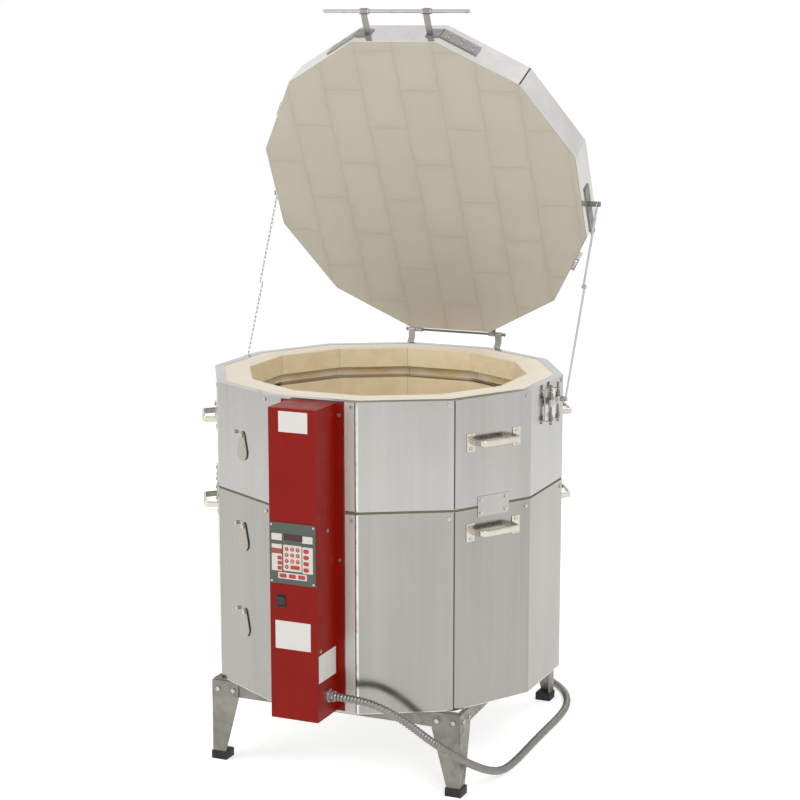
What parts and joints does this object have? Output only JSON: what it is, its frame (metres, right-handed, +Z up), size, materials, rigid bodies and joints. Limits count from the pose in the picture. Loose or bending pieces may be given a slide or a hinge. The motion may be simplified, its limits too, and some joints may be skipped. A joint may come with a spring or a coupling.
{
  "type": "top-loading ceramic kiln",
  "caption": "Twelve-sided top-loading electric kiln with brick chamber, steel jacket, propped hinged lid, front control box, side handles, legged stand and conduit-clad power lead.",
  "frame": {"origin": "on the floor under the middle of the kiln, measured without the lead", "axes": "+Z up, -Y the side of the control box, +X the side of the folding stay; hinge line along X at the back"},
  "size_m": [0.7947, 1.2454, 1.618],
  "materials": {
    "stainless": "satin rolled stainless sheet",
    "firebrick": "soft matt insulating brick",
    "coil_wire": "dull heating wire",
    "galvanised": "mottled zinc coat",
    "zinc": "bright zinc plate",
    "cast_zinc": "die-cast connector",
    "foot_rubber": "matt",
    "red_paint": "semi-gloss powder coat",
    "panel_grey": "satin panel",
    "display_window": "dark red window",
    "key_film": "printed key film without words",
    "black_plastic": "moulded",
    "conduit_metal": "wound metal strip",
    "black_rubber": "moulded plug",
    "brass": "bare blades"
  },
  "bodies": {
    "kiln": {"base_plate": "stainless", "floor_slab": "firebrick", "lower_bricks_1": "firebrick", "lower_bricks_2": "firebrick", "lower_bricks_3": "firebrick", "upper_bricks_1": "firebrick", "upper_bricks_2": "firebrick", "lower_jacket": "stainless", "upper_jacket": "stainless", "lower_elements": "coil_wire", "upper_elements": "coil_wire", "thermocouple": "firebrick", "leg_front_left": "galvanised", "leg_front_right": "galvanised", "leg_rear_right": "galvanised", "leg_rear_left": "galvanised", "foot_caps": "foot_rubber", "stand_bolts": "zinc", "stand_rails": "galvanised", "upper_handles": "stainless", "lower_handles": "stainless", "joining_plates": "stainless", "jacket_screws": "zinc", "peephole_screws": "zinc", "hinge_straps": "stainless", "hinge_rod": "zinc", "stay_bracket": "stainless", "stay_cross_bar": "zinc", "stay_studs": "zinc", "chain_foot_screw": "zinc", "box_chassis": "red_paint", "box_cover": "red_paint", "controller_plate": "panel_grey", "controller_display": "display_window", "controller_keys": "key_film", "switch_frame": "black_plastic", "conduit_connector": "cast_zinc", "box_fittings": "black_plastic", "box_screws": "zinc", "conduit": "conduit_metal", "conduit_coil": "conduit_metal", "plug": "black_rubber", "plug_blades": "brass"},
    "lid": {"lid_brick": "firebrick", "lid_band": "stainless", "lid_rivets": "zinc", "lid_band_clamps": "stainless", "lid_handle_arms": "stainless", "lid_handle_rod": "zinc", "lid_straps": "stainless", "lid_stay_bracket": "stainless", "chain_lid_screw": "zinc"},
    "stay_lower": {"stay_lower_link": "zinc"},
    "stay_upper": {"stay_upper_link": "zinc"},
    "chain_lower": {"chain_lower": "zinc"},
    "chain_upper": {"chain_upper": "zinc"},
    "peephole_cover_upper": {"peephole_cover_upper": "stainless"},
    "peephole_cover_middle": {"peephole_cover_middle": "stainless"},
    "peephole_cover_lower": {"peephole_cover_lower": "stainless"},
    "power_rocker": {"power_rocker": "black_plastic"}
  },
  "joints": [
    {"name": "lid_hinge", "type": "hinge", "parent": "kiln", "child": "lid", "pos_m": [0, 0.413, 0.8673], "axis": [1, 0, 0], "range_deg": [0, 64]},
    {"name": "stay_foot_pin", "type": "hinge", "parent": "kiln", "child": "stay_lower", "pos_m": [0.3975, 0.062, 0.7973], "axis": [1, 0, 0], "range_deg": [-0.399, 0]},
    {"name": "stay_top_pin", "type": "hinge", "parent": "lid", "child": "stay_upper", "pos_m": [0.3942, 0.26543, 1.19586], "axis": [1, 0, 0], "range_deg": [0, 103.97]},
    {"name": "chain_foot", "type": "hinge", "parent": "kiln", "child": "chain_lower", "pos_m": [-0.387, 0.098, 0.8293], "axis": [1, 0, 0], "range_deg": [-168.97, 0]},
    {"name": "chain_top", "type": "hinge", "parent": "lid", "child": "chain_upper", "pos_m": [-0.387, 0.25513, 1.19418], "axis": [1, 0, 0], "range_deg": [-36.12, 0]},
    {"name": "power_switch", "type": "hinge", "parent": "kiln", "child": "power_rocker", "pos_m": [-0.028, -0.4482, 0.438], "axis": [-1, 0, 0], "range_deg": [0, 16]},
    {"name": "peephole_upper_pivot", "type": "hinge", "parent": "kiln", "child": "peephole_cover_upper", "pos_m": [-0.1875, -0.30876, 0.7403], "axis": [-0.5, -0.866, 0], "range_deg": [0, 95]},
    {"name": "peephole_middle_pivot", "type": "hinge", "parent": "kiln", "child": "peephole_cover_middle", "pos_m": [-0.1875, -0.30876, 0.5439], "axis": [-0.5, -0.866, 0], "range_deg": [0, 95]},
    {"name": "peephole_lower_pivot", "type": "hinge", "parent": "kiln", "child": "peephole_cover_lower", "pos_m": [-0.1875, -0.30876, 0.356], "axis": [-0.5, -0.866, 0], "range_deg": [0, 95]}
  ],
  "couplings": [
    {"joint": "stay_foot_pin", "follows": "lid_hinge", "ratio": -0.006113},
    {"joint": "stay_top_pin", "follows": "lid_hinge", "ratio": 1.5927},
    {"joint": "chain_foot", "follows": "lid_hinge", "ratio": -2.5883},
    {"joint": "chain_top", "follows": "lid_hinge", "ratio": -0.55337}
  ]
}
